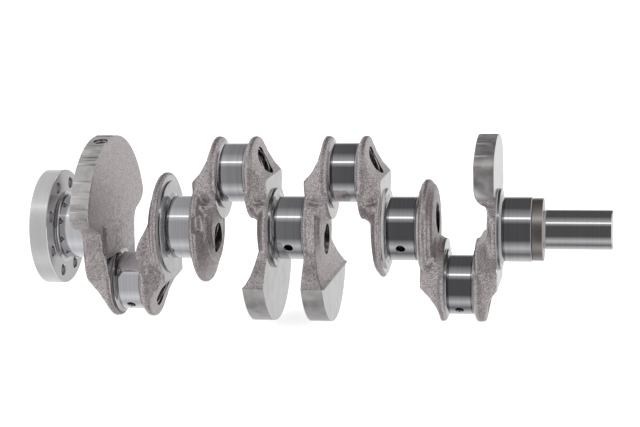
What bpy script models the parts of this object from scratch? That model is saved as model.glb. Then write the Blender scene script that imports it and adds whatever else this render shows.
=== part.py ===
"""A four-cylinder crankshaft: flange, five main journals, four crankpins, eight webs, collar and nose.

The shaft lies along X with the nose towards +X. Its axis is the origin's X axis, and the origin is at
the middle of the centre main journal. Crankpins 2 and 3 stand up (+Z), crankpins 1 and 4 hang down.
"""

import math

import bmesh
import bpy
from mathutils import Matrix, Vector

MM = 0.001
FIT_GAP = 0.3 * MM              # clearance between the faces of neighbouring members

# Running gear
CYLINDERS = 4
BORE_PITCH = 95 * MM            # between cylinder centres
THROW = 47.5 * MM               # crankpin centre from the shaft axis
MAIN_RADIUS = 27 * MM
PIN_RADIUS = 25 * MM
MAIN_RING_X = 13.5 * MM         # half distance between the thrust rings at a main journal
PIN_CHEEK_X = 12.5 * MM         # half distance between the cheeks at a crankpin
FILLET = 2.2 * MM               # rolled relief at the ends of each journal
OIL_HOLE_RADIUS = 3.2 * MM
MAIN_OIL_TURN = math.radians(-151)      # from +Y, seen from the nose
PIN_OIL_TURN = math.radians(-133)       # the same, on a crankpin that hangs down
NEAR_OIL_MAINS = (2, 3)                 # the other mains are drilled on the opposite side

# Webs, measured outwards from the crankpin's middle
WEB_FACE = 32 * MM              # machined outer face of a web
RING_RADIUS = 34 * MM           # raised ring round a main journal
LOBE_RADIUS = 34.5 * MM         # round end at the crankpin
TIP_RADIUS = 78.5 * MM          # furthest point of that end from the shaft axis
LOBE_EDGE = 19 * MM             # where the round end starts to taper outwards
LOBE_FACE_RADIUS = 30 * MM      # its radius at the outer face
TIP_THICKNESS = 7 * MM
SHOULDER_RISE = 44 * MM         # where the sloped face meets the machined face
SHOULDER_DEPTH = 6 * MM
SHOULDER_RUN = 8 * MM
SLOPE_WAIST_RISE = 62 * MM      # the slope is hollow, and this is a point in its middle
SLOPE_WAIST_X = 21.7 * MM
HUB_RADIUS = 40.5 * MM          # disc of a web round the shaft axis
THRUST_HUB_RADIUS = 46.6 * MM   # the same beside the thrust bearing
THRUST_RADIUS = 40 * MM
THRUST_RISE = 1.2 * MM          # how far the thrust face stands above the other rings
THRUST_MAIN = 4
HUB_RIM = 4 * MM                # thickness of the disc at its rim
HUB_EDGE = 2.5 * MM             # how far the disc's outer edge is taken back
HUB_NECK = 16 * MM              # radius where the disc's inner cone ends
HUB_NECK_X = 20.5 * MM
LIGHTENING_RADIUS = 10 * MM
PIN_BORE_RISE = 12.5 * MM       # how far the web's crankpin bore leaves the crankpin's centre line
MAIN_BORE_DROP = 9.3 * MM
BORED_MAINS = (2, 3, 4)

# Counterweights
WEIGHT_FACE = 15 * MM
WEIGHT_THICKNESS = 16 * MM
END_WEIGHT_RADIUS = 79.5 * MM   # end webs, about the shaft axis
REAR_WEIGHT_SHOULDER = 20 * MM
REAR_WEIGHT_NECK = 45 * MM
FRONT_WEIGHT_HALF = 50 * MM     # the front web's weight has straight flanks
FRONT_WEIGHT_SHOULDER = 30 * MM
FRONT_WEIGHT_NECK = 38 * MM
MID_WEIGHT_RADIUS = 59.5 * MM   # middle webs, about a point on the weight's side of the axis
MID_WEIGHT_CENTRE = 20 * MM
MID_WEIGHT_SHOULDER = 41 * MM
MID_WEIGHT_NECK = 36 * MM
SCOOP = ((15, -41), (19.5, -30), (25, -8))      # inner side of a middle weight's top, mm
BALANCE_HOLE_RADIUS = 6 * MM     # drilled into the rear weight's rim
BALANCE_HOLE_DEPTH = 5 * MM
BALANCE_HOLE_X = 20.5 * MM
BALANCE_HOLE_TURN = math.radians(-103)

# Rear flange
FLANGE_RADIUS = 49.5 * MM
FLANGE_THICKNESS = 16 * MM
REAR_MAIN_LENGTH = 27.5 * MM     # from the last web's ring to the flange
FLANGE_BOLTS = 8
BOLT_CIRCLE_RADIUS = 39 * MM
BOLT_HOLE_RADIUS = 4.85 * MM
BOLT_TURN = math.radians(22.5)
SPIGOT_RADIUS = 20 * MM         # recess for the input shaft's support
SPIGOT_DEPTH = 12 * MM

# Front end
FRONT_MAIN_LENGTH = 25 * MM      # from the first web's ring to the collar
COLLAR_RADIUS = 26 * MM
COLLAR_LENGTH = 9 * MM
NOSE_RADIUS = 16.4 * MM
NOSE_LENGTH = 56 * MM
NOSE_CHAMFER = 1.5 * MM
NOSE_BORE_RADIUS = 6 * MM
NOSE_BORE_DEPTH = 36 * MM

ROUND_STEPS = 36
HOLE_STEPS = 12
REACH = 200 * MM                # length of a cutter that goes right through


def clear_scene():
    for obj in list(bpy.data.objects):
        bpy.data.objects.remove(obj, do_unlink=True)


def new_collection(name):
    group = bpy.data.collections.new(name)
    bpy.context.scene.collection.children.link(group)
    return group


def metal(name, colour, roughness):
    material = bpy.data.materials.new(name)
    material.use_nodes = True
    shader = material.node_tree.nodes["Principled BSDF"]
    shader.inputs["Base Color"].default_value = (*colour, 1)
    shader.inputs["Metallic"].default_value = 1
    shader.inputs["Roughness"].default_value = roughness
    return material


def add_object(name, mesh, group, material=None):
    obj = bpy.data.objects.new(name, mesh)
    group.objects.link(obj)
    if material:
        mesh.materials.append(material)
    return obj


def turned(name, group, profile, material=None):
    """A solid of revolution about X. The profile runs from its +X end to its -X end as (x, radius)."""
    mesh = bpy.data.meshes.new(name)
    edges = [(i, i + 1) for i in range(len(profile) - 1)]
    mesh.from_pydata([(x, r, 0) for x, r in profile], edges, [])
    obj = add_object(name, mesh, group, material)
    screw = obj.modifiers.new("turn", "SCREW")
    screw.axis = "X"
    screw.steps = ROUND_STEPS
    screw.render_steps = ROUND_STEPS
    screw.use_smooth_shade = True
    screw.use_merge_vertices = True
    screw.merge_threshold = 0.05 * MM
    return obj


def round_bar(name, start, end, radius):
    """A round cutter between two points."""
    start = Vector(start)
    end = Vector(end)
    along = end - start
    shape = bmesh.new()
    bmesh.ops.create_cone(
        shape,
        cap_ends=True,
        segments=HOLE_STEPS,
        radius1=radius,
        radius2=radius,
        depth=along.length,
    )
    turn = Vector((0, 0, 1)).rotation_difference(along).to_matrix().to_4x4()
    shape.transform(Matrix.Translation((start + end) / 2) @ turn)
    mesh = bpy.data.meshes.new(name)
    shape.to_mesh(mesh)
    shape.free()
    return add_object(name, mesh, CUTTERS)


def plate(name, outline, start, end, across="X"):
    """A flat outline given as (y, z), thick from start to end along X, or as (x, z) along Y."""
    curve = bpy.data.curves.new(name, "CURVE")
    curve.dimensions = "2D"
    curve.fill_mode = "BOTH"
    curve.extrude = (end - start) / 2
    spline = curve.splines.new("POLY")
    spline.points.add(len(outline) - 1)
    for point, (a, b) in zip(spline.points, outline):
        point.co = (a, b, 0, 1)
    spline.use_cyclic_u = True
    rough = bpy.data.objects.new(name + "_outline", curve)
    CUTTERS.objects.link(rough)
    bpy.context.view_layer.update()
    mesh = bpy.data.meshes.new_from_object(rough.evaluated_get(bpy.context.evaluated_depsgraph_get()))
    bpy.data.objects.remove(rough, do_unlink=True)
    if across == "X":
        turn = Matrix(((0, 0, 1, 0), (1, 0, 0, 0), (0, 1, 0, 0), (0, 0, 0, 1)))
        place = Matrix.Translation(((start + end) / 2, 0, 0))
    else:
        turn = Matrix(((1, 0, 0, 0), (0, 0, -1, 0), (0, 1, 0, 0), (0, 0, 0, 1)))
        place = Matrix.Translation((0, (start + end) / 2, 0))
    shape = bmesh.new()
    shape.from_mesh(mesh)
    bmesh.ops.remove_doubles(shape, verts=shape.verts, dist=0.01 * MM)
    shape.transform(place @ turn)
    bmesh.ops.recalc_face_normals(shape, faces=shape.faces)
    shape.to_mesh(mesh)
    shape.free()
    return add_object(name, mesh, CUTTERS)


def combine(obj, other, operation="DIFFERENCE"):
    """Cuts or joins with another object, which stays as a hidden wire in its own collection."""
    other.display_type = "WIRE"
    other.hide_render = True
    step = obj.modifiers.new(operation.lower(), "BOOLEAN")
    step.operation = operation
    step.object = other
    step.solver = "EXACT"


def arc(centre, radius, first, last, steps):
    """Points as (y, z) round a centre on the Z axis, with angles measured from +Y."""
    turn = (last - first) / steps
    return [
        (radius * math.cos(first + i * turn), centre + radius * math.sin(first + i * turn))
        for i in range(steps + 1)
    ]


def mirrored(half):
    """A whole outline from the half with y above 0, which runs from the bottom to the top."""
    return half + [(-y, z) for y, z in reversed(half) if y > 1e-6]


def pin_side(number):
    """+1 where the crankpin stands up and -1 where it hangs down."""
    return 1 if number in (2, 3) else -1


def pin_x(number):
    return (2.5 - number) * BORE_PITCH


def main_x(number):
    return (3 - number) * BORE_PITCH


def oil_hole(name, radius, turn):
    """A cutter for the oil hole of a journal, which goes in along one radius."""
    outwards = Vector((0, math.cos(turn), math.sin(turn)))
    depth = radius - LIGHTENING_RADIUS / 2
    return round_bar(name, outwards * (radius - depth), outwards * (radius + depth), OIL_HOLE_RADIUS)


def journal_end(radius, tip, side, flared):
    """The profile of one end of a journal, from its face inwards. Side is +1 at the +X end."""
    if not flared:
        return [(tip, radius - 0.5 * MM), (tip - 0.5 * MM * side, radius)]
    flare = radius + FILLET
    return [
        (tip, flare),
        (tip - side * FILLET / 2, flare - FILLET / 3),
        (tip - side * FILLET, radius - 0.6 * MM),
        (tip - side * FILLET * 1.6, radius),
    ]


def journal(name, radius, back, front, bore, material, flares=(True, True)):
    """A ground journal with a relief groove at each end that meets a web."""
    profile = journal_end(radius, front, 1, flares[1])
    profile += reversed(journal_end(radius, back, -1, flares[0]))
    if bore:
        profile = [(front, bore)] + profile + [(back, bore), (front, bore)]
    else:
        profile = [(front, 0)] + profile + [(back, 0)]
    return turned(name, PARTS, profile, material)


def build_journals():
    ground = metal("ground_steel", (0.55, 0.56, 0.6), 0.15)
    for number in range(1, CYLINDERS + 2):
        back = -MAIN_RING_X + FIT_GAP
        front = MAIN_RING_X - FIT_GAP
        if number == 1:
            front = front_main_end() - main_x(1)
        if number == CYLINDERS + 1:
            back = rear_main_end() - main_x(number)
        if number == THRUST_MAIN:
            back += THRUST_RISE
            front -= THRUST_RISE
        bore = LIGHTENING_RADIUS if number in BORED_MAINS else 0
        name = f"main_journal_{number}"
        flares = (True, number > 1)
        obj = journal(name, MAIN_RADIUS, back, front, bore, ground, flares)
        obj.location.x = main_x(number)
        turn = MAIN_OIL_TURN + (0 if number in NEAR_OIL_MAINS else math.pi)
        hole = oil_hole(name + "_oil_hole", MAIN_RADIUS, turn)
        hole.parent = obj
        combine(obj, hole)
    for number in range(1, CYLINDERS + 1):
        reach = PIN_CHEEK_X - FIT_GAP
        name = f"crankpin_{number}"
        obj = journal(name, PIN_RADIUS, -reach, reach, LIGHTENING_RADIUS, ground)
        obj.location = (pin_x(number), 0, THROW * pin_side(number))
        turn = PIN_OIL_TURN + (0 if pin_side(number) < 0 else math.pi)
        hole = oil_hole(name + "_oil_hole", PIN_RADIUS, turn)
        hole.parent = obj
        combine(obj, hole)


def hub(name, radius, thrust):
    """The disc of a web round the shaft axis: flat outside with a raised ring, coned inside."""
    ring_top = BORE_PITCH / 2 - MAIN_RING_X
    rim = WEB_FACE - HUB_RIM
    profile = [(ring_top, 0), (ring_top, RING_RADIUS), (WEB_FACE, RING_RADIUS + 1 * MM)]
    if thrust:
        face = ring_top + THRUST_RISE
        profile = [(face, 0), (face, THRUST_RADIUS), (WEB_FACE, THRUST_RADIUS)]
    profile += [(WEB_FACE, radius - HUB_EDGE), (WEB_FACE - HUB_EDGE / 2, radius), (rim, radius)]
    profile += [(HUB_NECK_X, HUB_NECK), (HUB_NECK_X, 0)]
    return turned(name, PARTS, profile)


def slope_outline():
    """What is cut off outside the sloped face at the crankpin end, as (x, z)."""
    tip = PIN_CHEEK_X + TIP_THICKNESS
    far = WEB_FACE + REACH
    return [
        (tip, TIP_RADIUS),
        (SLOPE_WAIST_X, SLOPE_WAIST_RISE),
        (WEB_FACE - SHOULDER_DEPTH, SHOULDER_RISE + SHOULDER_RUN),
        (WEB_FACE, SHOULDER_RISE),
        (far, SHOULDER_RISE),
        (far, TIP_RADIUS + REACH),
        (tip - 0.5 * MM, TIP_RADIUS + REACH),
    ]


def lobe(name):
    """The round end of a web at the crankpin, tapered towards the outer face."""
    face = WEB_FACE - FIT_GAP
    profile = [(face, 0), (face, LOBE_FACE_RADIUS), (LOBE_EDGE, LOBE_RADIUS)]
    profile += [(PIN_CHEEK_X, LOBE_RADIUS), (PIN_CHEEK_X, 0)]
    end = turned(name + "_lobe", CUTTERS, profile)
    end.location.z = TIP_RADIUS - LOBE_RADIUS
    return end


def rear_weight_outline():
    """The wide counterweight of the rear web, as (y, z), with the crankpin towards +Z."""
    corner = math.asin(-REAR_WEIGHT_SHOULDER / END_WEIGHT_RADIUS)
    half = arc(0, END_WEIGHT_RADIUS, -math.pi / 2, corner, 14)
    half += [
        (half[-1][0] - 5 * MM, half[-1][1] + 7 * MM),
        (REAR_WEIGHT_NECK + 6 * MM, -REAR_WEIGHT_SHOULDER + 9 * MM),
        (REAR_WEIGHT_NECK, 2 * MM),
        (HUB_RADIUS - 2 * MM, 14 * MM),
    ]
    return mirrored(half)


def front_weight_outline():
    """The narrower counterweight of the front web, with straight flanks."""
    corner = -math.acos(FRONT_WEIGHT_HALF / END_WEIGHT_RADIUS)
    half = arc(0, END_WEIGHT_RADIUS, -math.pi / 2, corner, 8)
    half += [
        (FRONT_WEIGHT_HALF, -FRONT_WEIGHT_SHOULDER - 4 * MM),
        (FRONT_WEIGHT_HALF - 4 * MM, -FRONT_WEIGHT_SHOULDER),
        (FRONT_WEIGHT_NECK, -FRONT_WEIGHT_SHOULDER + 8 * MM),
    ]
    return mirrored(half)


def mid_weight_outline():
    """The rounder counterweight of a middle web, as (y, z), with the crankpin towards +Z."""
    drop = MID_WEIGHT_SHOULDER - MID_WEIGHT_CENTRE
    corner = math.asin(-drop / MID_WEIGHT_RADIUS)
    half = arc(-MID_WEIGHT_CENTRE, MID_WEIGHT_RADIUS, -math.pi / 2, corner, 12)
    half += [(half[-1][0] - 6 * MM, half[-1][1] + 12 * MM), (MID_WEIGHT_NECK, -12 * MM)]
    return mirrored(half)


def weight(name, number):
    """The counterweight of a web as a plate, or None for a web that has none."""
    outlines = {
        1: front_weight_outline,
        2 * CYLINDERS: rear_weight_outline,
        CYLINDERS: mid_weight_outline,
        CYLINDERS + 1: mid_weight_outline,
    }
    if number not in outlines:
        return None
    face = WEIGHT_FACE
    slab = plate(name + "_weight", outlines[number](), face, face + WEIGHT_THICKNESS)
    if number in (CYLINDERS, CYLINDERS + 1):
        inner = [(x * MM, z * MM) for x, z in SCOOP]
        inner = [(-REACH, inner[0][1])] + inner + [(inner[-1][0], REACH), (-REACH, REACH)]
        scoop = plate(name + "_scoop", inner, -REACH, REACH, "Y")
        scoop.parent = slab
        combine(slab, scoop)
    return slab


def balance_hole(name):
    """The blind hole in the rim of a weight that was drilled to balance the shaft."""
    outwards = Vector((0, math.cos(BALANCE_HOLE_TURN), math.sin(BALANCE_HOLE_TURN)))
    bottom = outwards * (END_WEIGHT_RADIUS - BALANCE_HOLE_DEPTH)
    bottom.x = BALANCE_HOLE_X
    return round_bar(name + "_balance_hole", bottom, bottom + outwards * REACH, BALANCE_HOLE_RADIUS)


def build_web(number, cast):
    """One web. Its own frame has X outwards from the crankpin's middle and Z towards the crankpin."""
    pin = (number + 1) // 2
    outwards = 1 if number % 2 else -1
    main = pin if outwards > 0 else pin + 1
    thrust = main == THRUST_MAIN
    radius = THRUST_HUB_RADIUS if thrust else HUB_RADIUS
    name = f"web_{number}"
    web = hub(name, radius, thrust)
    web.data.materials.append(cast)
    joins = [part for part in (lobe(name), weight(name, number)) if part]
    pin_centre = Vector((0, 0, THROW))
    into = Vector((WEB_FACE, 0, PIN_BORE_RISE * WEB_FACE / (WEB_FACE - SHOULDER_DEPTH)))
    cuts = [
        plate(name + "_slope", slope_outline(), -REACH, REACH, "Y"),
        round_bar(name + "_pin_bore", pin_centre, pin_centre + into * 2, LIGHTENING_RADIUS),
    ]
    if main in BORED_MAINS:
        main_centre = Vector((BORE_PITCH / 2, 0, 0))
        into = Vector((-BORE_PITCH / 2, 0, -2 * MAIN_BORE_DROP + 2 * MM))
        cuts.append(round_bar(name + "_main_bore", main_centre, main_centre + into, LIGHTENING_RADIUS))
    if number == 2 * CYLINDERS:
        cuts.append(balance_hole(name))
    for other in joins:
        other.parent = web
        combine(web, other, "UNION")
    for other in cuts:
        other.parent = web
        combine(web, other)
    web.location.x = pin_x(pin)
    web.rotation_euler = (0 if pin_side(pin) > 0 else math.pi, 0, 0 if outwards > 0 else math.pi)
    return web


def build_webs():
    cast = metal("cast_iron", (0.33, 0.3, 0.3), 0.55)
    for number in range(1, 2 * CYLINDERS + 1):
        build_web(number, cast)


def front_main_end():
    return main_x(1) - MAIN_RING_X + FRONT_MAIN_LENGTH


def rear_main_end():
    return main_x(CYLINDERS + 1) + MAIN_RING_X - REAR_MAIN_LENGTH


def build_flange():
    front = rear_main_end() - FIT_GAP
    back = front - FLANGE_THICKNESS
    edge = 1 * MM
    profile = [
        (front, 0),
        (front, FLANGE_RADIUS - edge),
        (front - edge, FLANGE_RADIUS),
        (back + edge, FLANGE_RADIUS),
        (back, FLANGE_RADIUS - edge),
        (back, SPIGOT_RADIUS),
        (back + SPIGOT_DEPTH, SPIGOT_RADIUS),
        (back + SPIGOT_DEPTH, 0),
    ]
    flange = turned("rear_flange", PARTS, profile, metal("turned_steel", (0.6, 0.6, 0.61), 0.3))
    for index in range(FLANGE_BOLTS):
        turn = BOLT_TURN + index * math.tau / FLANGE_BOLTS
        y = BOLT_CIRCLE_RADIUS * math.cos(turn)
        z = BOLT_CIRCLE_RADIUS * math.sin(turn)
        start = (back - REACH, y, z)
        combine(flange, round_bar(f"bolt_hole_{index + 1}", start, (front + REACH, y, z), BOLT_HOLE_RADIUS))


def build_front():
    back = front_main_end() + FIT_GAP
    front = back + COLLAR_LENGTH
    edge = 0.5 * MM
    profile = [(front, 0), (front, COLLAR_RADIUS - edge), (front - edge, COLLAR_RADIUS)]
    profile += [(back + edge, COLLAR_RADIUS), (back, COLLAR_RADIUS - edge), (back, 0)]
    turned("seal_collar", PARTS, profile, metal("brushed_steel", (0.5, 0.47, 0.45), 0.35))
    back = front + FIT_GAP
    front = back + NOSE_LENGTH
    profile = [
        (front - NOSE_BORE_DEPTH, 0),
        (front - NOSE_BORE_DEPTH, NOSE_BORE_RADIUS),
        (front - NOSE_CHAMFER, NOSE_BORE_RADIUS),
        (front, NOSE_BORE_RADIUS + NOSE_CHAMFER),
        (front, NOSE_RADIUS - NOSE_CHAMFER),
        (front - NOSE_CHAMFER, NOSE_RADIUS),
        (back, NOSE_RADIUS),
        (back, 0),
    ]
    turned("nose", PARTS, profile, metal("polished_steel", (0.6, 0.6, 0.62), 0.12))


clear_scene()
PARTS = new_collection("crankshaft")
CUTTERS = new_collection("cutters")
CUTTERS.hide_render = True
build_flange()
build_journals()
build_webs()
build_front()
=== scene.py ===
"""The looks of a four-cylinder car engine's crankshaft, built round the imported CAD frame."""

import math

import bmesh
import bpy
from mathutils import Matrix, Vector


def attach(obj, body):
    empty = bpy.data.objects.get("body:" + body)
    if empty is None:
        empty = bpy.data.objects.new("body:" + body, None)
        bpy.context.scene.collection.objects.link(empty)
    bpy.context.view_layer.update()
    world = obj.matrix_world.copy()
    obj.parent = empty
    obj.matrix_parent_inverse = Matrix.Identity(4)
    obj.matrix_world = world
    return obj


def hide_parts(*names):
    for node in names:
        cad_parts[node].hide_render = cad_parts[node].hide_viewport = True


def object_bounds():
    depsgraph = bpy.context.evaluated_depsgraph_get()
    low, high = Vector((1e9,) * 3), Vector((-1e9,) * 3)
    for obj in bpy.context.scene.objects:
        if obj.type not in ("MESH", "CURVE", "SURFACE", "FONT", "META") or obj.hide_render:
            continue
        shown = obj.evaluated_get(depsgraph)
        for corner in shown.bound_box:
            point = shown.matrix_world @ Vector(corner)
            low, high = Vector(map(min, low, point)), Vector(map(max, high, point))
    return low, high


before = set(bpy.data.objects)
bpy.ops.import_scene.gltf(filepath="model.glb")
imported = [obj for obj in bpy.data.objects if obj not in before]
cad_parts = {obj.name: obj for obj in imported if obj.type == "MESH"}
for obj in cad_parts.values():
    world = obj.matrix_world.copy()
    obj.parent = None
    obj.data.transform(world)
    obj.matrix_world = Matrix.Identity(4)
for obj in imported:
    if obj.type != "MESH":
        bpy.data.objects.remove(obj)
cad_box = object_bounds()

# --- Camera ---------------------------------------------------------------------------------
# A long lens from the front, slightly above the shaft and a little towards its nose, with the
# camera tipped by under two degrees.
camera = bpy.data.objects.new("camera", bpy.data.cameras.new("camera"))
camera.data.lens = 88.66
camera.location = (0.2811, -1.2892, 0.2539)
swing = math.radians(11.35)
dip = math.radians(10.41)
ahead = Vector((-math.sin(swing) * math.cos(dip), math.cos(swing) * math.cos(dip), -math.sin(dip)))
tip = Matrix.Rotation(math.radians(-1.755), 3, "Z")
camera.rotation_euler = (ahead.to_track_quat("-Z", "Y").to_matrix() @ tip).to_euler()
bpy.context.scene.collection.objects.link(camera)
bpy.context.scene.camera = camera
bpy.context.scene.view_settings.view_transform = "Standard"

# --- Floor and light ------------------------------------------------------------------------
# A white floor that glows faintly, as a light table does. The studio is plain: a pale floor and
# backdrop, one long soft box above the front, a dim room, and a soft reflector past each end.
MM = 0.001
floor_shape = bmesh.new()
bmesh.ops.create_grid(floor_shape, x_segments=1, y_segments=1, size=12)
floor_mesh = bpy.data.meshes.new("floor")
floor_shape.to_mesh(floor_mesh)
floor_shape.free()
floor = bpy.data.objects.new("floor", floor_mesh)
bpy.context.scene.collection.objects.link(floor)
floor.location.z = cad_box[0][2] - 0.3 * MM
floor.visible_glossy = False
paper = bpy.data.materials.new("white_floor")
paper.use_nodes = True
glow = paper.node_tree.nodes["Principled BSDF"]
glow.inputs["Base Color"].default_value = (0.8, 0.8, 0.8, 1)
glow.inputs["Roughness"].default_value = 0.9
glow.inputs["Emission Color"].default_value = (1, 1, 1, 1)
glow.inputs["Emission Strength"].default_value = 0.75
floor_mesh.materials.append(paper)


def ramp(tree, factor, stops):
    """A colour ramp over an angle in degrees from -180 to 180, with stops as (angle, red, green, blue)."""
    node = tree.nodes.new("ShaderNodeValToRGB")
    node.color_ramp.interpolation = "LINEAR"
    while len(node.color_ramp.elements) < len(stops):
        node.color_ramp.elements.new(0.5)
    for element, (angle, *colour) in zip(node.color_ramp.elements, sorted(stops)):
        element.position = angle / 360 + 0.5
        element.color = (*colour, 1)
    tree.links.new(factor, node.inputs["Fac"])
    return node.outputs["Color"]


def grey(angle, level):
    return (angle, level, level, level)


studio = bpy.data.worlds.new("studio")
bpy.context.scene.world = studio
studio.use_nodes = True
sky = studio.node_tree
around = sky.nodes.new("ShaderNodeTexCoord")
parts = sky.nodes.new("ShaderNodeSeparateXYZ")
sky.links.new(around.outputs["Generated"], parts.inputs[0])
forward = sky.nodes.new("ShaderNodeMath")
forward.operation = "MULTIPLY"
forward.inputs[1].default_value = -1
sky.links.new(parts.outputs["Y"], forward.inputs[0])
height = sky.nodes.new("ShaderNodeMath")
height.operation = "ARCTAN2"
sky.links.new(parts.outputs["Z"], height.inputs[0])
sky.links.new(forward.outputs[0], height.inputs[1])
turn = sky.nodes.new("ShaderNodeMapRange")
turn.inputs["From Min"].default_value = -math.pi
turn.inputs["From Max"].default_value = math.pi
sky.links.new(height.outputs[0], turn.inputs["Value"])
room = ramp(sky, turn.outputs[0], [
    grey(-180, 0.7), grey(-120, 0.4), grey(-90, 0.1), grey(-60, 0.4), grey(-30, 0.06), grey(30, 0.06),
    grey(45, 0.3), grey(50, 1.3), grey(55, 0.3), grey(90, 0.06), grey(150, 0.06), grey(180, 0.7),
])


def blend(tree, value, low, high, first, second):
    """Goes from the first colour to the second as the value goes from low to high."""
    share = tree.nodes.new("ShaderNodeMapRange")
    share.interpolation_type = "SMOOTHSTEP"
    share.inputs["From Min"].default_value = low
    share.inputs["From Max"].default_value = high
    mix = tree.nodes.new("ShaderNodeMix")
    mix.data_type = "RGBA"
    tree.links.new(value, share.inputs["Value"])
    tree.links.new(share.outputs[0], mix.inputs["Factor"])
    tree.links.new(first, mix.inputs["A"])
    tree.links.new(second, mix.inputs["B"])
    return mix.outputs["Result"]


reflector = sky.nodes.new("ShaderNodeRGB")
reflector.outputs[0].default_value = (0.7, 0.7, 0.7, 1)
walls = blend(sky, parts.outputs["X"], -0.5, -0.15, reflector.outputs[0], room)
walls = blend(sky, parts.outputs["X"], 0.15, 0.5, walls, reflector.outputs[0])
seen = sky.nodes.new("ShaderNodeLightPath")
white = sky.nodes.new("ShaderNodeRGB")
white.outputs[0].default_value = (1, 1, 1, 1)
background = sky.nodes["Background"]
surroundings = blend(sky, seen.outputs["Is Camera Ray"], 0, 1, walls, white.outputs[0])
sky.links.new(surroundings, background.inputs["Color"])
background.inputs["Strength"].default_value = 1.45

# --- Webs -----------------------------------------------------------------------------------
# The eight webs are the cast part of the shaft: nodular iron poured in sand, blasted grey, with
# soft corners. Each is cast a little full, then turned about both of its journals and drilled.


def textured(name, colour, metallic, roughness):
    """A material with its node tree, its shader and the object's own coordinates."""
    material = bpy.data.materials.new(name)
    material.use_nodes = True
    tree = material.node_tree
    shader = tree.nodes["Principled BSDF"]
    shader.inputs["Base Color"].default_value = (*colour, 1)
    shader.inputs["Metallic"].default_value = metallic
    shader.inputs["Roughness"].default_value = roughness
    place = tree.nodes.new("ShaderNodeTexCoord").outputs["Object"]
    return material, tree, shader, place


def noise(tree, place, scale, detail=3, stretch=(1, 1, 1)):
    mapping = tree.nodes.new("ShaderNodeMapping")
    mapping.inputs["Scale"].default_value = stretch
    texture = tree.nodes.new("ShaderNodeTexNoise")
    texture.inputs["Scale"].default_value = scale
    texture.inputs["Detail"].default_value = detail
    tree.links.new(place, mapping.inputs["Vector"])
    tree.links.new(mapping.outputs[0], texture.inputs["Vector"])
    return texture.outputs["Fac"]


def between(tree, value, low, high, out_low, out_high):
    node = tree.nodes.new("ShaderNodeMapRange")
    for name, number in zip(("From Min", "From Max", "To Min", "To Max"), (low, high, out_low, out_high)):
        node.inputs[name].default_value = number
    tree.links.new(value, node.inputs["Value"])
    return node.outputs[0]


def two_tone(tree, shader, value, dark, light):
    mix = tree.nodes.new("ShaderNodeMix")
    mix.data_type = "RGBA"
    mix.inputs["A"].default_value = (*dark, 1)
    mix.inputs["B"].default_value = (*light, 1)
    tree.links.new(value, mix.inputs["Factor"])
    tree.links.new(mix.outputs["Result"], shader.inputs["Base Color"])


def bumped(tree, shader, *layers):
    """Stacks bump layers, each as (height, strength, distance)."""
    below = None
    for height_value, strength, distance in layers:
        bump = tree.nodes.new("ShaderNodeBump")
        bump.inputs["Strength"].default_value = strength
        bump.inputs["Distance"].default_value = distance
        tree.links.new(height_value, bump.inputs["Height"])
        if below:
            tree.links.new(below, bump.inputs["Normal"])
        below = bump.outputs["Normal"]
    tree.links.new(below, shader.inputs["Normal"])


def cast_iron():
    material, tree, shader, place = textured("cast_iron", (0.3, 0.27, 0.27), 0.8, 0.5)
    grain = noise(tree, place, 1000, 4)
    lumps = noise(tree, place, 260, 3)
    two_tone(tree, shader, between(tree, grain, 0.36, 0.64, 0, 1), (0.23, 0.2, 0.203), (0.6, 0.55, 0.55))
    tree.links.new(between(tree, lumps, 0.3, 0.7, 0.34, 0.52), shader.inputs["Roughness"])
    bumped(tree, shader, (lumps, 0.6, 0.6 * MM), (grain, 0.3, 0.2 * MM))
    return material


def cut_iron(name, dark, light):
    """Turned and milled faces, nearly mirrors, with fine rings of the tool."""
    material, tree, shader, place = textured(name, light, 1, 0.15)
    split = tree.nodes.new("ShaderNodeSeparateXYZ")
    tree.links.new(place, split.inputs[0])
    flat = tree.nodes.new("ShaderNodeCombineXYZ")
    tree.links.new(split.outputs["Y"], flat.inputs["Y"])
    tree.links.new(split.outputs["Z"], flat.inputs["Z"])
    rings = tree.nodes.new("ShaderNodeTexWave")
    rings.wave_type = "RINGS"
    rings.rings_direction = "SPHERICAL"
    rings.inputs["Scale"].default_value = 260
    rings.inputs["Distortion"].default_value = 1.2
    rings.inputs["Detail"].default_value = 2
    tree.links.new(flat.outputs[0], rings.inputs["Vector"])
    patches = noise(tree, place, 60, 4)
    two_tone(tree, shader, between(tree, patches, 0.35, 0.65, 0, 1), dark, light)
    tree.links.new(between(tree, patches, 0.3, 0.7, 0.1, 0.2), shader.inputs["Roughness"])
    bumped(tree, shader, (rings.outputs["Fac"], 0.06, 0.06 * MM))
    return material


def rim_iron():
    """The turned rims and milled flanks of the counterweights: grey, with marks along the shaft."""
    material, tree, shader, place = textured("rim_iron", (0.5, 0.48, 0.48), 1, 0.34)
    streaks = noise(tree, place, 420, 3, (0.06, 1, 1))
    patches = noise(tree, place, 90, 4)
    two_tone(tree, shader, between(tree, patches, 0.35, 0.65, 0, 1), (0.5, 0.475, 0.475), (0.68, 0.66, 0.66))
    tree.links.new(between(tree, patches, 0.3, 0.7, 0.32, 0.46), shader.inputs["Roughness"])
    bumped(tree, shader, (streaks, 0.12, 0.1 * MM))
    return material


iron = cast_iron()
cut = cut_iron("cut_iron", (0.38, 0.37, 0.375), (0.48, 0.47, 0.475))
# A darker copy of the cut iron, for the rear web's inner face: painted reflection of crankpin 4's dark top,
# darker than the face's own metal.
cheek_iron = cut_iron("cheek_iron", (0.09, 0.085, 0.088), (0.2, 0.185, 0.19))
rim = rim_iron()


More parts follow.
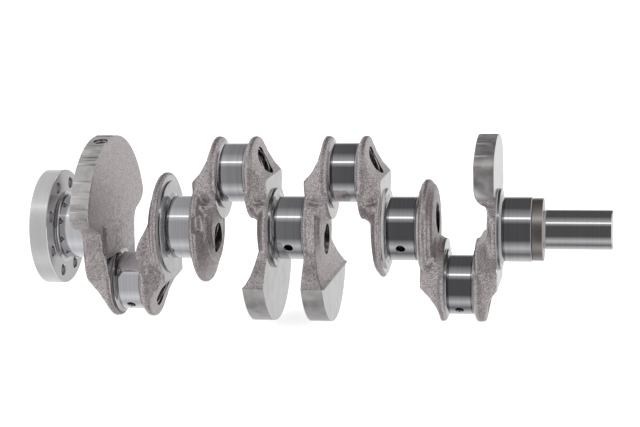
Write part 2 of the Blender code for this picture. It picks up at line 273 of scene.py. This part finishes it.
def as_object(name, shape, *materials, used=0):
    """Puts a bmesh into a new object and frees it. All its faces take the material numbered used."""
    bmesh.ops.recalc_face_normals(shape, faces=shape.faces)
    if shape.calc_volume(signed=True) < 0:
        bmesh.ops.reverse_faces(shape, faces=shape.faces)
    for face in shape.faces:
        face.material_index = used
    mesh = bpy.data.meshes.new(name)
    shape.to_mesh(mesh)
    shape.free()
    for material in materials:
        mesh.materials.append(material)
    obj = bpy.data.objects.new(name, mesh)
    bpy.context.scene.collection.objects.link(obj)
    return obj


def spun(profile, steps, centre=(0, 0, 0), axis=(1, 0, 0)):
    """A closed turned solid in a new bmesh. The profile gives (distance along the axis, radius)."""
    shape = bmesh.new()
    points = [shape.verts.new((x, 0, r)) for x, r in profile]
    edges = [shape.edges.new(pair) for pair in zip(points, points[1:])]
    bmesh.ops.spin(
        shape, geom=points + edges, cent=(0, 0, 0), axis=(1, 0, 0), angle=math.tau, steps=steps,
        use_merge=True,
    )
    bmesh.ops.remove_doubles(shape, verts=shape.verts, dist=0.005 * MM)
    lean = Vector((1, 0, 0)).rotation_difference(Vector(axis)).to_matrix().to_4x4()
    shape.transform(Matrix.Translation(centre) @ lean)
    return shape


def slab(outline, low, high):
    """An outline of (y, z) points made thick along X."""
    shape = bmesh.new()
    face = shape.faces.new([shape.verts.new((low, y, z)) for y, z in outline])
    pushed = bmesh.ops.extrude_face_region(shape, geom=[face])
    moved = [item for item in pushed["geom"] if isinstance(item, bmesh.types.BMVert)]
    bmesh.ops.translate(shape, verts=moved, vec=(high - low, 0, 0))
    return shape


def side_slab(outline, half):
    """An outline of (x, z) points made thick along Y, to both sides of the crank plane."""
    shape = bmesh.new()
    face = shape.faces.new([shape.verts.new((x, -half, z)) for x, z in outline])
    pushed = bmesh.ops.extrude_face_region(shape, geom=[face])
    moved = [item for item in pushed["geom"] if isinstance(item, bmesh.types.BMVert)]
    bmesh.ops.translate(shape, verts=moved, vec=(0, 2 * half, 0))
    return shape


def settle(obj):
    """Makes an object's modifiers part of its mesh."""
    graph = bpy.context.evaluated_depsgraph_get()
    mesh = bpy.data.meshes.new_from_object(obj.evaluated_get(graph))
    obj.modifiers.clear()
    obj.data = mesh


def carve(obj, *tools, solver="MANIFOLD"):
    """Cuts other solids away."""
    for tool in tools:
        step = obj.modifiers.new("cut", "BOOLEAN")
        step.solver = solver
        step.object = tool
    settle(obj)
    for tool in tools:
        bpy.data.objects.remove(tool, do_unlink=True)


def sweep(centre, radius, first, last, steps):
    """Points on an arc as (y, z), with angles in degrees from +Y round a centre on the Z axis."""
    angles = [math.radians(first + (last - first) * i / steps) for i in range(steps + 1)]
    return [(radius * math.cos(t), centre + radius * math.sin(t)) for t in angles]


def both_sides(half):
    return half + [(-y, z) for y, z in reversed(half) if y > 0.01 * MM]


def in_mm(points):
    return [(a * MM, b * MM) for a, b in points]


def rough_lobe(name, number):
    """The round end at the crankpin with its hollow slope."""
    profile = [(33.8, 0), (33.8, 28.5), (31, 30.8), (19, 34.2), (16, 34.6)]
    profile += [(13.6, 34.2), (12.4, 32.8), (12, 30), (12, 0)]
    end = as_object(name + "_lobe", spun(in_mm(profile), 72, (0, 0, 44 * MM)))
    worn = {1: -1.2, 2: 3.2, 4: 1.6, 6: 1.6}.get(number, 1.3)
    slope = [(19.6 - worn * 0.6, 80), (20.4 - worn, 70), (22 - worn, 61.5), (26.2 - worn / 2, 52)]
    slope += [(33.8, 43.4), (60, 43.4), (60, 120), (19 - worn, 120)]
    carve(end, as_object("slope", side_slab(in_mm(slope), 80 * MM)), solver="EXACT")
    return end


def rough_heel(name, number):
    """The square-cornered foot of the round end, which reaches down towards the shaft."""
    heel = slab(sweep(44 * MM, 35.6 * MM, -165, -15, 24), (12.9 if number == 8 else 9) * MM, 18 * MM)
    for radius, low in ((37.6, 16.2), (40, 19.4)):
        solid = as_object(name + "_step", slab(sweep(44 * MM, radius * MM, -150, -30, 24), low * MM, 30 * MM))
        heel.from_mesh(solid.data)
        bpy.data.objects.remove(solid, do_unlink=True)
    if number == 7:
        fill = side_slab(in_mm([(26.4, -16), (20, -4), (13, 7.5), (10, 16), (10, 28), (29, 28)]), 33.5 * MM)
        solid = as_object(name + "_fill", fill)
        heel.from_mesh(solid.data)
        bpy.data.objects.remove(solid, do_unlink=True)
    if number == 1:
        fill = [(33, -34), (21, -28), (23.6, -24), (24.6, -18), (24.6, -2), (23, 3), (18, 6.5)]
        solid = as_object(name + "_fill", side_slab(in_mm(fill + [(14, 9), (14, 30), (33, 30)]), 37 * MM))
        heel.from_mesh(solid.data)
        bpy.data.objects.remove(solid, do_unlink=True)
    if number == 8:
        sides = [(39.5, -6), (39.5, 30), (37, 37), (32, 43), (-32, 43), (-37, 37), (-39.5, 30), (-39.5, -6)]
        solid = as_object(name + "_sides", slab(in_mm(sides), 12.9 * MM, 34 * MM))
        heel.from_mesh(solid.data)
        bpy.data.objects.remove(solid, do_unlink=True)
    return as_object(name + "_heel", heel)


def rough_hub(name, wide):
    """The disc round the shaft, with the ridges of the mould on its inner cone."""
    if wide:
        edge = [(37, 0), (37, 41), (33.5, 42.5), (33, 46.4), (31, 47.4), (27.5, 47), (27, 42.5)]
    elif name in ("web_2", "web_3"):
        edge = [(36, 0), (36, 36.5), (33, 38), (30.8, 39), (30.4, 41.6)]
    else:
        edge = [(36, 0), (36, 36), (33.5, 38), (33, 40.6), (31, 41.4), (28, 40.9), (27, 38.4)]
    cone = [(24.8, 37.2), (24.6, 34.6), (21.6, 32), (21.8, 29.6), (24, 27), (23, 23), (20.2, 20), (20, 0)]
    if name == "web_2":
        cone = [(25.4, 41.6), (24.6, 39), (21.8, 37.2), (20.6, 34), (20, 22), (19, 0)]
    if name == "web_3":
        cone = [(28, 41), (26.6, 38.6), (24.2, 36), (23, 30), (21, 20), (20, 0)]
    if name == "web_4":
        cone = [(24.4, 38), (22.6, 36), (22, 32), (20.4, 28), (20, 20), (19.4, 0)]
    if name == "web_1":
        cone = [(26, 38), (24.6, 34), (23.6, 29), (23, 20), (22, 16), (21, 0)]
    hub = as_object(name + "_hub", spun(in_mm(edge + cone), 72))
    if name == "web_6":
        recess = in_mm([(35, 3), (60, 3), (60, 17), (35, 17)])
        carve(hub, as_object("recess", slab(recess, 23 * MM, 31 * MM)), solver="EXACT")
    return hub


def rough_weight(name, number):
    """The counterweight of a web as cast, or None."""
    if number == 8:
        half = sweep(0, 80 * MM, -90, -15.5, 24)
        half += in_mm([(75.4, -16), (71, -12), (63.5, -9), (54, -6.5)])
        half += in_mm([(48.5, -2.5), (46.2, 4), (45, 14), (40, 26)])
        return as_object(name + "_weight", slab(both_sides(half), 14.4 * MM, 31.4 * MM))
    if number == 1:
        half = sweep(0, 79.7 * MM, -90, -51, 14)
        half += in_mm([(50.4, -60), (50.4, -36), (49, -30), (45.5, -27), (38, -25)])
        body = as_object(name + "_weight", slab(both_sides(half), 14.8 * MM, 32.6 * MM))
        corner = [(-20, -42), (14.7, -42), (15.6, -35.5), (17.8, -31), (21, -28), (24, -25)]
        corner += [(25, -20), (-20, -20)]
        carve(body, as_object("corner", side_slab(in_mm(corner), 90 * MM)), solver="EXACT")
        return body
    if number in (4, 5):
        half = sweep(-19.7 * MM, 60.6 * MM, -90, -20.6, 20)
        half += in_mm([(50.4, -31), (42, -22), (36.4, -12)])
        body = as_object(name + "_weight", slab(both_sides(half), 12.4 * MM, 33.4 * MM))
        scoop = in_mm([(-20, -40.5), (12, -40.5), (14.4, -40.2), (19.2, -31), (25, -8), (25, 80), (-20, 80)])
        carve(body, as_object("scoop", side_slab(scoop, 90 * MM)), solver="EXACT")
        return body
    return None


def stepped_drill(start, along, radii, depth):
    """A drill with shoulders, whose mouth is wide and which narrows inwards."""
    profile = [(-12 * MM, 0), (-12 * MM, radii[0] * MM)]
    step = depth / len(radii)
    for index, radius in enumerate(radii):
        at = -12 * MM if index == 0 else index * step
        end = 3 * depth if index + 1 == len(radii) > 2 else (index + 1) * step
        profile += [(at + 0.01 * MM, radius * MM), (end - 0.4 * MM, radius * MM), (end, (radius - 0.3) * MM)]
    profile.append((profile[-1][0], 0))
    return as_object("drill", spun(profile, 48, start, along), used=1)


def web_drills(number):
    """The slanting drillings of a web, into its crankpin and into its main journal."""
    lean = Vector((-26, 0, -11.5)).normalized()
    tools = [stepped_drill(Vector((25.7, 0, 59)) * MM, lean, (12.4, 11.4, 10, 8.2), 18 * MM)]
    if (number + 2) // 2 in (2, 3, 4):
        climb = Vector((27, 0, 9.3)).normalized()
        tools.append(stepped_drill(Vector((20.6, 0, -9.3)) * MM, climb, (12.6, 11.2, 9.6), 14 * MM))
    return tools


def web_place(number):
    """Where a web's own frame lies: X outwards from the middle of its crankpin, Z towards the pin."""
    pin = (number + 1) // 2
    flip = Matrix.Rotation(0 if pin in (2, 3) else math.pi, 4, "X")
    face_way = Matrix.Rotation(0 if number % 2 else math.pi, 4, "Z")
    return Matrix.Translation(((2.5 - pin) * 95 * MM, 0, 0)) @ face_way @ flip


def web(number):
    name = f"web_{number}"
    wide = number in (6, 7)
    rough = bmesh.new()
    for solid in (
        rough_lobe(name, number), rough_heel(name, number), rough_hub(name, wide), rough_weight(name, number)
    ):
        if solid:
            rough.from_mesh(solid.data)
            bpy.data.objects.remove(solid, do_unlink=True)
    body = as_object("visual_" + name, rough, iron, cut, rim, cheek_iron)
    skin = body.modifiers.new("skin", "REMESH")
    skin.mode = "VOXEL"
    skin.voxel_size = 1.15 * MM
    soften = body.modifiers.new("soften", "SMOOTH")
    soften.factor = 0.6
    soften.iterations = 9
    settle(body)
    if wide:
        face = [(35.2, 0), (35.2, 39.6), (34.8, 40), (33.4, 40.2), (33, 43.5), (34.5, 60), (60, 60), (60, 0)]
    else:
        plane = {1: 31.3, 4: 32.4, 5: 31.2, 8: 33.4}.get(number, 32)
        face = [(34, 0), (34, 33.6), (33.6, 34), (plane + 0.3, 34.3), (plane, 34.6)]
        face += [(plane, 90), (60, 90), (60, 0)]
    turned_face = as_object("turned_face", spun(in_mm(face), 96), used=1)
    cheek = [(12.5, 30.6), (12.2, 30.2), (10.6, 30), (10.5, 0), (-20, 0), (-20, 42), (12.5, 42), (12.5, 30.6)]
    pin_side = as_object("pin_side", spun(in_mm(cheek), 96, (0, 0, 47.5 * MM)), used=0 if number == 8 else 1)
    tools = [turned_face, pin_side] + web_drills(number)
    if number in (4, 5):
        inside = 14.4 if number == 4 else 13.4
        flat = in_mm([(-20, -41.2), (inside, -41.2), (inside, -120), (-20, -120)])
        tools.append(as_object("flat", side_slab(flat, 90 * MM), used=1))
        round_rim = sweep(-19.7 * MM, 59.8 * MM, -159, -21, 60)
        round_rim += in_mm([(90, -41), (90, -110), (-90, -110), (-90, -41)])
        tools.append(as_object("round_rim", slab(round_rim, 0, 60 * MM), used=2))
    if number == 8:
        for side in (-1, 1):
            low_rim = sweep(0, 79.3 * MM, -89, -12, 40) + in_mm([(95, -16), (95, -95), (1.4, -95)])
            low_rim = [(side * y, z) for y, z in low_rim]
            tools.append(as_object("low_rim", slab(low_rim, 0, 60 * MM), used=2))
    if number == 1:
        for side in (-1, 1):
            flank = sweep(0, 79.2 * MM, -89, -60, 12)
            flank += in_mm([(42.4, -66.6), (45, -63.8), (47, -60.4), (48.4, -56.6), (49.3, -52.4)])
            flank += in_mm([(49.7, -48), (49.7, -33), (90, -33), (90, -95), (1.4, -95)])
            tools.append(as_object("flank", slab([(side * y, z) for y, z in flank], 0, 60 * MM), used=2))
    if number == 8:
        # The rear web's inner face towards the crankpin takes the darker copy of the cut iron: painted
        # reflection of the pin's dark top.
        below = in_mm([(-20, 21), (13.3, 21), (13.3, 110), (-20, 110)])
        tools.append(as_object("below", side_slab(below, 90 * MM), used=3))
        out = Vector((0, math.cos(math.radians(-103)), math.sin(math.radians(-103))))
        tools.append(stepped_drill(out * 79.5 * MM + Vector((20.5 * MM, 0, 0)), -out, (6, 6), 5 * MM))
    carve(body, *tools)
    body.data.transform(web_place(number))
    body.data.shade_smooth()
    body.data.set_sharp_from_angle(angle=math.radians(32))
    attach(body, "root")
    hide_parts(name)


for number in range(1, 9):
    web(number)

# --- Journals -------------------------------------------------------------------------------
# Five main journals and four crankpins, ground and lapped to a mirror. Each runs into a rolled
# relief groove and a raised ring at both ends, and has one oil hole with a rounded mouth.


def lapped_iron():
    material, tree, shader, place = textured("lapped_iron", (0.78, 0.78, 0.81), 1, 0.1)
    fine = noise(tree, place, 500, 3, (1, 0.02, 0.02))
    smear = noise(tree, place, 60, 3, (1, 0.35, 0.35))
    tree.links.new(between(tree, smear, 0.35, 0.7, 0.03, 0.08), shader.inputs["Roughness"])
    two_tone(tree, shader, between(tree, fine, 0.3, 0.7, 0, 1), (0.68, 0.68, 0.72), (0.78, 0.78, 0.81))
    bumped(tree, shader, (fine, 0.02, 0.015 * MM))
    return material


def rolled_iron():
    """The burnished grooves at the ends of the journals: darker, with the marks of the rollers."""
    material, tree, shader, place = textured("rolled_iron", (0.4, 0.39, 0.4), 1, 0.12)
    fine = noise(tree, place, 900, 2, (1, 0.02, 0.02))
    two_tone(tree, shader, between(tree, fine, 0.35, 0.65, 0, 1), (0.3, 0.29, 0.3), (0.55, 0.54, 0.55))
    bumped(tree, shader, (fine, 0.1, 0.05 * MM))
    return material


lapped = lapped_iron()
rolled = rolled_iron()


def relief(ring_x, journal, side):
    """The end of a journal as (x, radius): ring, groove and start of the ground surface."""
    return [
        ((ring_x + 2.5) * side, journal + 3.2), (ring_x * side, journal + 3),
        ((ring_x - 0.25) * side, journal + 2.6),
        ((ring_x - 0.9) * side, journal + 1.7), ((ring_x - 1.2) * side, journal + 0.8),
        ((ring_x - 2) * side, journal - 0.25), ((ring_x - 2.9) * side, journal - 0.3),
        ((ring_x - 3.3) * side, journal),
    ]


def journal(name, centre, radius, ring_x, bore, oil_turn, neighbours, ends=(None, None)):
    low = relief(ring_x, radius, -1) if ends[0] is None else ends[0]
    high = relief(ring_x, radius, 1)[::-1] if ends[1] is None else ends[1]
    profile = low + high
    if bore:
        profile = [(profile[0][0], bore)] + profile + [(profile[-1][0], bore), (profile[0][0], bore)]
    else:
        profile = [(profile[0][0], 0)] + profile + [(profile[-1][0], 0)]
    obj = as_object("visual_" + name, spun(in_mm(profile), 160), lapped, cut, rolled)
    for face in obj.data.polygons:
        if abs(face.center.x) > (ring_x - 3.2) * MM:
            face.material_index = 2
    out = Vector((0, math.cos(math.radians(oil_turn)), math.sin(math.radians(oil_turn))))
    shift = Vector((-1 * MM, 0, 0))
    mouth = in_mm([(4, 0), (4, 6.2), (0.4, 4.4), (-0.5, 3.6), (-2, 3.2), (-12, 3.2), (-12, 0)])
    hole = as_object("oil_hole", spun(mouth, 40, out * radius * MM + shift, out), used=1)
    carve(obj, hole)
    obj.data.transform(Matrix.Translation(Vector(centre) * MM))
    for web_number in neighbours:
        drills = web_drills(web_number)
        tool = drills[0] if "pin" in name else drills[-1]
        for drill in drills:
            if drill != tool:
                bpy.data.objects.remove(drill, do_unlink=True)
        tool.data.transform(web_place(web_number))
        carve(obj, tool)
    obj.data.shade_smooth()
    obj.data.set_sharp_from_angle(angle=math.radians(28))
    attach(obj, "root")
    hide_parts(name)


for number in range(1, 6):
    ends = [None, None]
    if number == 1:
        ends[1] = [(11.1, 27), (11.5, 26.6), (11.5, 25.6)]
    if number == 5:
        ends[0] = [(-14.2, 31), (-14, 29.2), (-13.2, 27.8), (-12, 27.1), (-11.4, 27), (-11, 27)]
    ring = 12.3 if number == 4 else 13.5
    turn_deg = -151 if number in (2, 3) else 29
    bored = number in (2, 3, 4)
    beside = (2 * number - 2, 2 * number - 1) if bored else ()
    centre = ((3 - number) * 95, 0, 0)
    journal(f"main_journal_{number}", centre, 27, ring, 9 if bored else 0, turn_deg, beside, ends)
for number in range(1, 5):
    up = number in (2, 3)
    centre = ((2.5 - number) * 95, 0, 47.5 if up else -47.5)
    journal(f"crankpin_{number}", centre, 25, 12.3, 8, 47 if up else -133, (2 * number - 1, 2 * number))

# --- Rear flange ----------------------------------------------------------------------------
# The flywheel flange is cast in one with the shaft and turned all over, with eight drilled holes and
# a recess in its rear face for the gearbox shaft.


def turned_iron(name, colour, roughness, pitch):
    material, tree, shader, place = textured(name, colour, 1, roughness)
    fine = noise(tree, place, pitch, 2, (1, 0.03, 0.03))
    smear = noise(tree, place, 45, 3)
    dullness = between(tree, smear, 0.3, 0.7, roughness * 0.8, roughness * 1.25)
    tree.links.new(dullness, shader.inputs["Roughness"])
    darker = tuple(part * 0.93 for part in colour)
    two_tone(tree, shader, between(tree, fine, 0.3, 0.7, 0, 1), darker, colour)
    bumped(tree, shader, (fine, 0.025, 0.03 * MM))
    return material


satin = turned_iron("satin_iron", (0.74, 0.73, 0.74), 0.24, 650)
profile = in_mm([
    (-204.3, 0), (-204.3, 31), (-204.3, 49), (-204.8, 49.5), (-219.6, 49.5), (-220.3, 48.8), (-220.3, 20.8),
    (-219.5, 20), (-208.3, 20), (-208.3, 0),
])
faced = turned_iron("faced_iron", (0.42, 0.41, 0.415), 0.14, 900)
flange = as_object("visual_rear_flange", spun(profile, 160), satin, faced)
for face in flange.data.polygons:
    if abs(face.normal.x) > 0.9:
        face.material_index = 1
holes = []
for index in range(8):
    angle = math.radians(22.5 + 45 * index)
    centre = Vector((-204.3 * MM, 39 * MM * math.cos(angle), 39 * MM * math.sin(angle)))
    bolt = in_mm([(5, 0), (5, 5.4), (0, 5.4), (-0.5, 4.85), (-30, 4.85), (-30, 0)])
    holes.append(as_object("bolt_hole", spun(bolt, 40, centre)))
carve(flange, *holes)
flange.data.shade_smooth()
flange.data.set_sharp_from_angle(angle=math.radians(28))
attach(flange, "root")
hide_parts("rear_flange")

# --- Collar and nose ------------------------------------------------------------------------
# The collar is ground for the front oil seal. The nose in front of it is polished and carries the
# timing sprocket and the pulley, with a bore for their bolt.
brushed = turned_iron("brushed_iron", (0.5, 0.46, 0.44), 0.3, 900)
profile = in_mm([(201.5, 0), (201.5, 25.2), (202.2, 26), (210.4, 26), (210.8, 25.6), (210.8, 0)])
collar = as_object("visual_seal_collar", spun(profile, 160), brushed)
collar.data.shade_smooth()
collar.data.set_sharp_from_angle(angle=math.radians(28))
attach(collar, "root")
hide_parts("seal_collar")

polished = turned_iron("polished_iron", (0.8, 0.8, 0.82), 0.09, 800)
profile = in_mm([
    (210.8, 0), (210.8, 15.6), (212.4, 16), (212.8, 16.4), (213.2, 16.4),
    (265.2, 16.4), (265.6, 16.4), (266.8, 15.9), (267.1, 15), (267.1, 7.6),
    (265.6, 6), (231.1, 6), (229, 0),
])
nose = as_object("visual_nose", spun(profile, 160), polished)
nose.data.shade_smooth()
nose.data.set_sharp_from_angle(angle=math.radians(28))
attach(nose, "root")
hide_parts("nose")
